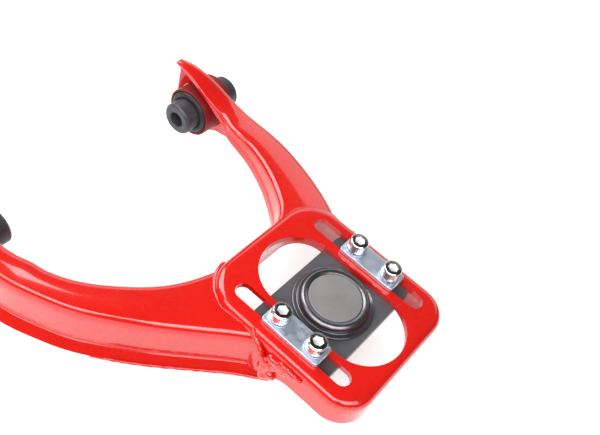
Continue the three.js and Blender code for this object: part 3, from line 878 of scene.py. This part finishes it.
def make_tail():
    """The weld's tail on the head's side: overlapping lumps, tall at the leg, dwindling outboard."""
    start_x, length = 0.1870, 0.0235
    face_y = -0.0280
    start_z, rise = 0.0055, 0.0110
    tallest, biggest = 0.0072, 0.0039
    stagger = 0.0007
    shake = random.Random(17)
    lumps = []
    for share in np.linspace(0, 1, 10):
        x = start_x + length * share
        middle = start_z + rise * share**0.55
        spread = tallest * (1 - share)
        size = biggest * (1 - 0.5 * share)
        for side in (-1, 1):
            at = (x + side * stagger, face_y, middle + side * spread * shake.uniform(0.35, 1))
            sizes = (size * 1.1, size * 0.85, size * shake.uniform(0.75, 1.1))
            lumps.append(blob("lump", at, sizes, shake))
    for at in ((0.1885, -0.0285, -0.0055), (0.1915, -0.0278, -0.0025)):
        lumps.append(blob("lump", at, (0.004, 0.003, 0.0035), shake))
    return lumps


PLATE_START = 0.100
PLATE_LIP = 0.0022  # how far the plate stands out past the leg's walls
PLATE_TIP = [(0.1905, -0.0185), (0.1880, -0.0160), (0.1835, -0.0140)]  # blunt, under the head


def make_bottom_plate():
    """The long leg's bottom plate, with the weld along its outer edge."""
    low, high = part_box("long_leg_bottom_plate")
    wall = offset(smooth_line(LONG_LEG["outer"], STATIONS), -PLATE_LIP)
    outer = [tuple(p) for p in [*wall, *PLATE_TIP] if p[0] > PLATE_START]
    inner = offset(smooth_line(LONG_LEG["inner"], STATIONS), PLATE_LIP)
    inner = [tuple(p) for p in inner if p[0] > PLATE_START]
    plate = prism("long_leg_bottom", outer + inner[::-1], low.z, high.z)
    oval = turned_outline(stadium(0, 0, 0.007, 0.012), 52, (0.139, -0.040))
    hole = prism("hole", oval, -CUT_REACH, 0)
    scoop = prism("scoop", circle(0.094, -0.074, 0.011, 36), -CUT_REACH, 0)
    cut(plate, hole, scoop)
    drop_scraps(plate)
    soften(plate, 0.0006, segments=2)
    seam = [(x, y, high.z + 0.0002) for x, y in wall if 0.108 < x < 0.188]
    bead = tube("bead", seam, lumpy(0.0014, 21, rough=0.28), sides=10)
    whole = joined("long_leg_bottom", plate, bead)
    smooth(whole, 50)
    place(whole, PAINT, "arm", "long_leg_bottom_plate")


def offset(line, distance):
    """The line moved sideways to its left."""
    ahead = np.vstack([line[1:], line[-1:]])
    behind = np.vstack([line[:1], line[:-1]])
    along = (ahead - behind) / np.linalg.norm(ahead - behind, axis=1)[:, None]
    return line + distance * np.stack([-along[:, 1], along[:, 0]], axis=1)


def turned_outline(outline, degrees, at):
    """The outline turned about its own origin, and then moved."""
    c, s = math.cos(math.radians(degrees)), math.sin(math.radians(degrees))
    return [(at[0] + x * c - y * s, at[1] + x * s + y * c) for x, y in outline]


# ---------------- the bushes


SLEEVE_HALF = 0.015
SLEEVE_INSIDE = SLEEVE_RADIUS - 0.0015
RUBBER_HALF = 0.017
CORE_HALF = 0.0285
CORE_RADIUS = 0.0126
CORE_BORE = 0.0061
BUSH_BEAD_RING = 0.0203  # the radius of the bead's middle line, round the outer sleeve


def bush_piece(name, side, section):
    piece = turned(name, section + section[:1], (0, side * BUSH_Y, 0), axis="Y")
    smooth(piece)
    return piece


def make_sleeve(side, leg_name):
    corners = [
        (SLEEVE_INSIDE, -SLEEVE_HALF), (SLEEVE_RADIUS, -SLEEVE_HALF),
        (SLEEVE_RADIUS, SLEEVE_HALF), (SLEEVE_INSIDE, SLEEVE_HALF),
    ]
    section = rounded(corners, 0.0004, steps=3, closed=True)
    sleeve = bush_piece(leg_name + "_bush_sleeve", side, section)
    place(sleeve, SLEEVE, "arm", leg_name + "_bush_outer_sleeve")


def make_cushion(side, leg_name):
    """The rubber between a bush's two sleeves, narrowed at its ends."""
    inner = CORE_RADIUS + 0.0002
    outer = SLEEVE_INSIDE - 0.0004
    narrow = SLEEVE_INSIDE - 0.0022
    shoulder = RUBBER_HALF - 0.002
    corners = [
        (inner, -RUBBER_HALF), (narrow, -RUBBER_HALF), (outer, -shoulder),
        (outer, shoulder), (narrow, RUBBER_HALF), (inner, RUBBER_HALF),
    ]
    section = rounded(corners, 0.0014, steps=4, closed=True)
    cushion = bush_piece(leg_name + "_bush_cushion", side, section)
    place(cushion, BUSH_RUBBER, "arm", leg_name + "_bush_rubber")


def make_core(side, leg_name):
    """The inner sleeve, which the pivot bolt clamps: chamfered outside, rounded at its bore."""
    chamfer = 0.0016
    section = bent([
        (CORE_BORE, -CORE_HALF, 0.0007), (CORE_RADIUS - chamfer, -CORE_HALF, 0.0005),
        (CORE_RADIUS, chamfer - CORE_HALF, 0.0005), (CORE_RADIUS, CORE_HALF - chamfer, 0.0005),
        (CORE_RADIUS - chamfer, CORE_HALF, 0.0005), (CORE_BORE, CORE_HALF, 0.0007),
    ], steps=3, closed=True)
    core = bush_piece(leg_name + "_bush_core", side, section)
    place(core, CORE, leg_name + "_bush_core", leg_name + "_bush_inner_sleeve")


def make_bush_weld(side, leg_name, leg):
    """The bead between the leg's outer wall and the bush's sleeve. It leaves the top open."""
    wall = smooth_line(leg["outer"], STATIONS)
    path = []
    for turn in np.linspace(math.radians(-24), math.radians(204), 100):
        x = BUSH_BEAD_RING * math.cos(turn - math.pi / 2)
        z = BUSH_BEAD_RING * math.sin(turn - math.pi / 2)
        path.append((x, np.interp(x, wall[:, 0], wall[:, 1]) - side * 0.0045, z))
    weld = tube(leg_name + "_bush_bead", path, lumpy(0.0016, 30 + side, rough=0.12), sides=10)
    smooth(weld, 180)
    place(weld, PAINT, "arm", leg_name + "_bush_weld")


def make_bush(leg_name, leg):
    side = leg["side"]
    make_sleeve(side, leg_name)
    make_cushion(side, leg_name)
    make_core(side, leg_name)
    make_bush_weld(side, leg_name, leg)


# ---------------- the sliding ball joint


def make_carrier():
    """The plate that holds the ball joint and slides under the head."""
    low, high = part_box("ball_joint_plate")
    outline = rounded_rectangle(low.x, high.x, low.y, high.y, 0.008, 0.008)
    plate = prism("carrier_plate", outline, low.z, high.z)
    bore = prism("bore", circle(JOINT_X, JOINT_Y, 0.0244, 72), 0, CUT_REACH)
    cut(plate, bore, *screw_holes(screw_spots()))
    soften(plate, 0.0007)
    place(plate, PLATE, "carriage", "ball_joint_plate")


def screw_spots():
    return [
        (JOINT_X + end * SCREW_PITCH / 2, JOINT_Y + side * SLOT_OFFSET)
        for side in (-1, 1) for end in (-1, 1)
    ]


def screw_holes(spots):
    return [prism("hole", circle(x, y, SCREW_HOLE_RADIUS, 24), 0, CUT_REACH) for x, y in spots]


def make_strips():
    for name, side in (("long_side", -1), ("short_side", 1)):
        low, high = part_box("clamp_strip_" + name)
        outline = rounded_rectangle(low.x, high.x, low.y, high.y, 0.0026, 0.0026)
        strip = prism("strip_" + name, outline, low.z, high.z)
        cut(strip, *screw_holes(spot for spot in screw_spots() if (spot[1] - JOINT_Y) * side > 0))
        soften(strip, 0.0005)
        place(strip, ZINC, "carriage", "clamp_strip_" + name)


def make_screws():
    for i, (x, y) in enumerate(screw_spots(), 1):
        make_washer(i, x, y)
        make_screw(i, x, y)


def make_washer(i, x, y):
    """A split spring washer: one flat turn whose two ends stand slightly apart."""
    low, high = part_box("lock_washer_%d" % i)
    inner, outer = SCREW_HOLE_RADIUS, high.x - x
    lift = 0.0002
    half_gap = 8
    twist = 75 * i
    rings = []
    for turn in np.radians(np.linspace(half_gap, 360 - half_gap, 60) + twist):
        share = (math.degrees(turn) - twist - half_gap) / (360 - 2 * half_gap)
        bottom = low.z + lift * share
        top = high.z - lift * (1 - share)
        corners = [(inner, bottom), (outer, bottom), (outer, top), (inner, top)]
        section = rounded(corners, 0.0003, steps=2, closed=True)
        rings.append([(x + r * math.cos(turn), y + r * math.sin(turn), z) for r, z in section])
    washer = skin("spring_washer_%d" % i, rings, ring_closed=True, ends_capped=True)
    smooth(washer, 40)
    place(washer, ZINC, "carriage", "lock_washer_%d" % i)


def screw_head(name, x, y, low):
    """The knurled head of a cap screw, chamfered at its top."""
    steps = KNURLS * 4
    knurl_depth = 0.00022
    top = SCREW_TOP
    levels = [  # height, inset, and share of the knurls' depth
        (low, 0.0003, 0), (low + 0.0003, 0, 0.3), (low + 0.0008, 0, 1),
        (top - 0.0018, 0, 1), (top - 0.0012, 0.00005, 0.3), (top - 0.0007, 0.0003, 0),
        (top - 0.0002, 0.0008, 0), (top, 0.0014, 0),
    ]
    rings = []
    for z, inset, knurl in levels:
        ring = []
        for j in range(steps):
            depth = knurl_depth * knurl * (0.5 - 0.5 * math.cos(2 * math.pi * j * KNURLS / steps))
            turn = 2 * math.pi * j / steps
            radius = SCREW_HEAD_RADIUS - inset - depth
            ring.append((x + radius * math.cos(turn), y + radius * math.sin(turn), z))
        rings.append(ring)
    return skin(name, rings, ring_closed=True, ends_capped=True)


def hexagon_tool(i, x, y):
    """What a cap screw's hexagon socket takes out of its head, flared at the mouth."""
    flare = 1.12
    hexagon = circle(x, y, SOCKET_ACROSS_FLATS / math.sqrt(3), 6, start=10 + 37 * i)
    rings = [
        [(a, b, SCREW_TOP - SOCKET_DEPTH) for a, b in hexagon],
        [(a, b, SCREW_TOP - 0.0003) for a, b in hexagon],
        [(x + (a - x) * flare, y + (b - y) * flare, SCREW_TOP + 0.0002) for a, b in hexagon],
    ]
    return skin("socket", rings, ring_closed=True, ends_capped=True)


def make_screw(i, x, y):
    """A socket head cap screw: knurled head, hexagon socket and threaded shank."""
    head_low = SCREW_TOP - SCREW_HEAD_HEIGHT
    head = screw_head("cap_screw_head_%d" % i, x, y, head_low)
    cut(head, hexagon_tool(i, x, y))
    profile = thread_profile(SCREW_TIP, head_low + 0.0002, SCREW_RADIUS, 0.00125)
    shank = turned("shank", profile, (x, y, 0), segments=32)
    screw = joined("cap_screw_piece_%d" % i, head, shank)
    smooth(screw, 38)
    place(screw, CHROME, "carriage", "cap_screw_%d" % i)

    top = SCREW_TOP - 0.0002
    floor = SCREW_TOP - SOCKET_DEPTH - 0.0005
    socket_reach = 0.0042

    def on_rim(face):
        return face.normal.z > 0.9 and face.center.z > top

    def in_socket(face):
        spots = [screw.data.vertices[v].co for v in face.vertices]
        inside = all(math.hypot(spot.x - x, spot.y - y) < socket_reach for spot in spots)
        return inside and floor < face.center.z < top

    # The head's top face gets a painted dark reflection.
    coat(screw, SCREW_TOP_DARK_REFLECTION, on_rim)
    # Its socket gets a painted highlight.
    coat(screw, SOCKET_PAINTED_HIGHLIGHT, in_socket)


def thread_profile(low, high, radius, pitch):
    """The side of a threaded rod from its low end up, as (radius, height) pairs."""
    depth = 0.45 * pitch
    profile = [(0, low), (radius - depth * 1.5, low), (radius - depth, low + pitch * 0.5)]
    turns = int((high - low - pitch) / pitch)
    for i in range(turns):
        z = low + pitch * (0.5 + i)
        profile.append((radius - depth, z + pitch * 0.12))
        profile += [(radius, z + pitch * 0.45), (radius, z + pitch * 0.6)]
    profile += [(radius - depth, low + pitch * (0.55 + turns)), (radius - depth, high), (0, high)]
    return profile


def make_housing():
    """The ball joint's cup: a flange on the plate, and a rolled rim that frames the cover."""
    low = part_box("ball_joint_housing")[0].z
    base = CARRIER_TOP + PRESS_GAP
    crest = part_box("ball_joint_cover")[1].z + 0.0002
    cup = bent([
        (0.0126, low, 0.0006), (0.0190, low, 0.002), (0.0241, 0.004, 0.002), (0.0241, base, 0.0004),
        (0.0275, base, 0.0006), (0.0275, base + 0.0012, 0.0006), (0.0252, base + 0.0014, 0.0004),
        (0.0240, base + 0.0016, 0.0010), (0.0240, crest - 0.0025, 0.0018),
        (0.0222, crest - 0.0004, 0.0014), (0.0203, crest, 0.0014), (0.0183, crest - 0.0010, 0.0006),
        (0.0183, crest - 0.0022, 0.0003), (0.0206, crest - 0.0022, 0.0004), (0.0206, 0.004, 0.002),
        (0.0155, low + 0.0025, 0.002), (0.0126, low + 0.0025, 0.0006),
    ], steps=6, closed=True)
    housing = turned("joint_cup", cup + cup[:1], (JOINT_X, JOINT_Y, 0), segments=128)
    smooth(housing)
    place(housing, CUP, "carriage", "ball_joint_housing")


def make_cover():
    """The disc that closes the cup, with a step down at its edge."""
    low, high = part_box("ball_joint_cover")
    edge, disc = 0.0202, 0.0181
    profile = bent([
        (0, low.z, 0), (edge, low.z, 0.0002), (edge, high.z - 0.0023, 0.0003),
        (disc, high.z - 0.0023, 0.0003), (disc, high.z - 0.0011, 0.0003),
        (disc - 0.0003, high.z - 0.0005, 0.0004), (0, high.z - 0.0004, 0),
    ], steps=4)
    cover = turned("joint_cover", profile, (JOINT_X, JOINT_Y, 0), segments=128)
    smooth(cover)
    place(cover, COVER, "carriage", "ball_joint_cover")


def make_stud():
    """The ball stud: thread, taper, waist and ball, from its lower end up."""
    low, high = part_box("ball_stud")
    taper_high, taper_low = -0.014, -0.026
    waist = 0.0065
    under = math.degrees(math.acos(waist / BALL_RADIUS))
    ball = arc(0, BALL_Z, BALL_RADIUS, -under, 90, 30)
    profile = thread_profile(low.z, taper_low, 0.006, 0.0015)[:-1]
    profile += bent([
        (0.0055, taper_low, 0), (0.0068, taper_low, 0.0003), (0.0080, taper_high, 0.0006),
        (0.0074, taper_high + 0.0012, 0.0005), (waist, taper_high + 0.0026, 0.002), (*ball[0], 0),
    ], steps=4)
    profile += ball[1:-1] + [(0, high.z)]
    stud = turned("ball_pin", profile, (JOINT_X, JOINT_Y, 0), segments=64)
    smooth(stud)
    place(stud, STUD, "stud", "ball_stud")


def make_nut():
    """A castle nut: chamfered hexagon, six slots, and the crown turned round."""
    low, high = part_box("castle_nut")
    centre = (JOINT_X, JOINT_Y, 0)
    across_flats = 0.019
    crown, widest = 0.0088, 0.0115
    outline = circle(JOINT_X, JOINT_Y, across_flats / math.sqrt(3), 6)
    nut = prism("nut", outline, low.z, high.z)
    chamfer = [
        (0, low.z), (crown - 0.0010, low.z), (crown, low.z + 0.0006), (crown, low.z + 0.0048),
        (0.0096, low.z + 0.0052), (widest, low.z + 0.0066), (widest, high.z - 0.0012),
        (0.0094, high.z), (0, high.z),
    ]
    cut(nut, turned("chamfer", chamfer, centre), operation="INTERSECT")
    cut(nut, turned("bore", rod(0.0062, low.z - 0.01, high.z + 0.01), centre, segments=48))
    inner, outer, half_width = 0.0055, 0.0130, 0.00175
    slot = [(inner, -half_width), (outer, -half_width), (outer, half_width), (inner, half_width)]
    slots = [
        prism("slot", turned_outline(slot, 30 + 60 * i, centre), low.z - 0.002, low.z + 0.0055)
        for i in range(6)
    ]
    cut(nut, joined("slots", *slots))
    soften(nut, 0.0003, segments=2)
    place(nut, NUT, "stud", "castle_nut")


BOOT_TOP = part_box("boot_base")[1].z
BOOT_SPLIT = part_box("boot_base")[0].z
BOOT_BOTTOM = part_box("boot_mouth")[0].z
BOOT_BULGE = 0.0285
BOOT_WALL = 0.0020
BOOT_LIP = 0.0244
BOOT_NECK = 0.0084


def half_boot(name, section, node):
    piece = turned(name, section + section[:1], (JOINT_X, JOINT_Y, 0))
    smooth(piece, 60)
    give(piece, BOOT_RUBBER, node)
    return piece


def make_boot_top():
    """The half of the dust boot that grips the cup, down to its widest fold."""
    inside, top = BOOT_BULGE - BOOT_WALL, BOOT_TOP
    section = bent([
        (BOOT_LIP, top, 0.0004), (BOOT_LIP, top - 0.0050, 0.002), (inside, top - 0.0090, 0.002),
        (inside - 0.0005, BOOT_SPLIT, 0), (BOOT_BULGE - 0.0005, BOOT_SPLIT, 0),
        (BOOT_BULGE, top - 0.0095, 0.003), (BOOT_BULGE - 0.0002, top - 0.0062, 0.001),
        (0.0268, top - 0.0044, 0.0008), (0.0266, top - 0.0020, 0.0006),
        (0.0278, top - 0.0012, 0.0005), (0.0278, top, 0.0004),
    ], steps=5, closed=True)
    piece = half_boot("boot_upper_half", section, "boot_base")
    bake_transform(piece)


def make_boot_mouth():
    """The half that closes round the stud, with a flat floor and a lip for its small ring."""
    inside, neck, low = BOOT_BULGE - BOOT_WALL, BOOT_NECK, BOOT_BOTTOM
    section = bent([
        (neck, low, 0.0003), (neck + 0.0034, low, 0.0004), (neck + 0.0036, low + 0.0011, 0.0004),
        (neck + 0.0026, low + 0.0018, 0.0004), (neck + 0.0026, low + 0.0033, 0.0003),
        (neck + 0.0052, low + 0.0035, 0.0006), (neck + 0.0100, low + 0.0039, 0.002),
        (BOOT_BULGE - 0.0032, BOOT_SPLIT - 0.0064, 0.003), (BOOT_BULGE - 0.0005, BOOT_SPLIT, 0),
        (inside - 0.0005, BOOT_SPLIT, 0), (inside - 0.0038, BOOT_SPLIT - 0.0056, 0.003),
        (neck + 0.0091, low + 0.0054, 0.002), (neck + 0.0046, low + 0.0048, 0.001),
        (neck + 0.0010, low + 0.0046, 0.0006), (neck, low + 0.0036, 0.0004),
    ], steps=5, closed=True)
    piece = half_boot("boot_lower_half", section, "boot_mouth")
    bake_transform(piece)


def dress_nodes():
    """Better materials for the CAD nodes whose shapes are kept."""
    kept = {
        "ball_seat_upper": NYLON,
        "ball_seat_lower": NYLON,
        "boot_base_ring": BRASS,
        "boot_mouth_ring": BRASS,
        "cotter_pin": NUT,
    }
    for name, material in kept.items():
        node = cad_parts[name]
        node.data.materials.clear()
        node.data.materials.append(material)
        smooth(node, 40)


# ---------------- the stage

FLOOR_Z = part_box("ball_stud")[0].z - 0.001


def make_floor():
    """A plain pale sheet. It glows a little, as a light table does, so its shadows stay light."""
    reach = 3.0
    spots = [(-reach, -reach), (reach, -reach), (reach, reach), (-reach, reach)]
    floor = new_piece("floor", [(x, y, FLOOR_Z) for x, y in spots], [(0, 1, 2, 3)])
    recipe = Recipe("floor_paper", Roughness=0.7, Emission_Color=(1, 1, 1, 1), Emission_Strength=0.58)
    recipe.mottle(3, 0.60, 0.64, detail=4)
    floor.data.materials.append(recipe.material)


WORLD_LIGHT = 0.12
LIGHTS_AIM = (0.12, 0.0, 0.0)
SOFTBOXES = [  # name, place, width and height, watts
    ("front_softbox", (-0.05, -1.2, 1.15), (1.7, 0.85), 19),
    ("front_strip", (0.6, -1.15, 1.4), (1.7, 0.2), 7),
    ("right_softbox", (1.2, -0.55, 1.15), (1.2, 0.9), 15),
    ("left_softbox", (-1.15, 0.05, 1.2), (1.2, 1.2), 26),
    ("back_softbox", (-0.4, 1.5, 0.82), (2.4, 0.9), 9),
]


def make_light(name, at, size, power):
    data = bpy.data.lights.new(name, "AREA")
    data.shape = "RECTANGLE"
    data.size, data.size_y = size
    data.energy = power
    lamp = add(name, data)
    lamp.location = at
    lamp.rotation_mode = "QUATERNION"
    lamp.rotation_quaternion = (Vector(LIGHTS_AIM) - Vector(at)).to_track_quat("-Z", "Y")


def make_lights():
    world = bpy.data.worlds.new("studio")
    bpy.context.scene.world = world
    world.use_nodes = True
    background = world.node_tree.nodes["Background"]
    background.inputs["Color"].default_value = (1, 1, 1, 1)
    background.inputs["Strength"].default_value = WORLD_LIGHT
    for softbox in SOFTBOXES:
        make_light(*softbox)


CAMERA_AT = (0.2731, -0.25335, 0.4236)
CAMERA_ANGLES = (23.81, 49.15, 21.01)  # azimuth, elevation and roll, in degrees
CAMERA_LENS = 46.13  # in mm, for a sensor 36 mm wide


def make_camera():
    azimuth, elevation, roll = (math.radians(angle) for angle in CAMERA_ANGLES)
    level_reach = math.cos(elevation)
    back = Vector((
        math.sin(azimuth) * level_reach, -math.cos(azimuth) * level_reach, math.sin(elevation)
    ))
    level = Vector((math.cos(azimuth), math.sin(azimuth), 0))
    rise = back.cross(level)
    right = level * math.cos(roll) + rise * math.sin(roll)
    up = rise * math.cos(roll) - level * math.sin(roll)
    data = bpy.data.cameras.new("camera")
    data.sensor_width = 36
    data.lens = CAMERA_LENS
    data.clip_start = 0.01
    camera = add("camera", data)
    turn = Matrix((right, up, back)).transposed().to_4x4()
    camera.matrix_world = Matrix.Translation(CAMERA_AT) @ turn
    bpy.context.scene.camera = camera


# ---------------- the scene

bpy.context.scene.view_settings.view_transform = "Standard"
make_camera()
make_floor()
make_lights()
make_head()
make_leg("short_leg", SHORT_LEG, "short_leg_shell")
make_leg("long_leg", LONG_LEG, "long_leg_shell")
make_bottom_plate()
make_long_leg_weld()
make_short_leg_weld()
make_bush("short_leg", SHORT_LEG)
make_bush("long_leg", LONG_LEG)
make_carrier()
make_strips()
make_screws()
make_housing()
make_cover()
make_stud()
make_nut()
make_boot_top()
make_boot_mouth()
dress_nodes()

bpy.context.view_layer.update()
